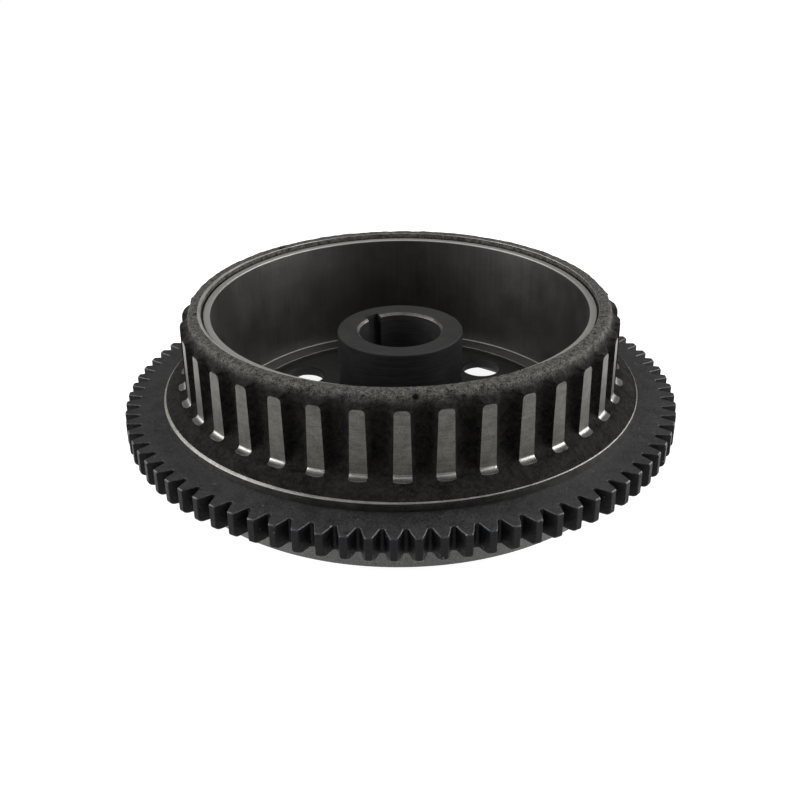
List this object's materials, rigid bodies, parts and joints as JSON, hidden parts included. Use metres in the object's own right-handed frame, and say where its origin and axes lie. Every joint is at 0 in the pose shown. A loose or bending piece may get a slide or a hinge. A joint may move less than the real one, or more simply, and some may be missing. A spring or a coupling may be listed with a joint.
{
  "type": "alternator flywheel",
  "caption": "Cup-shaped alternator flywheel with a starter ring gear, trigger ribs round the outside, a keyed hub and magnets behind a steel liner.",
  "frame": {"origin": "on the crankshaft axis, at the back face that the flywheel stands on", "axes": "+Z along the crankshaft bore, out of the open cup; -Y towards the viewer of the picture; the keyway points 130 degrees from +X"},
  "size_m": [0.172, 0.172, 0.0482],
  "materials": {
    "shell_casting": "rough dark casting with turned bare-metal rib faces",
    "gear_steel": "blued, oiled steel",
    "hub_steel": "fine dark phosphated steel",
    "rivet_steel": "satin",
    "liner_steel": "turned satin steel",
    "holder_plastic": "moulded nylon",
    "magnet": "sintered ferrite, matt",
    "sealant": "cured dark epoxy"
  },
  "bodies": {
    "root": {"rotor_shell": "shell_casting", "ring_gear": "gear_steel", "hub_flange": "hub_steel", "flange_rivets": "rivet_steel", "liner_sleeve": "liner_steel", "magnet_holder": "holder_plastic", "magnet_clamp_ring": "holder_plastic", "sealant_bead": "sealant", "magnet_01": "magnet", "magnet_02": "magnet", "magnet_03": "magnet", "magnet_04": "magnet", "magnet_05": "magnet", "magnet_06": "magnet", "magnet_07": "magnet", "magnet_08": "magnet", "magnet_09": "magnet", "magnet_10": "magnet", "magnet_11": "magnet", "magnet_12": "magnet"}
  },
  "joints": []
}
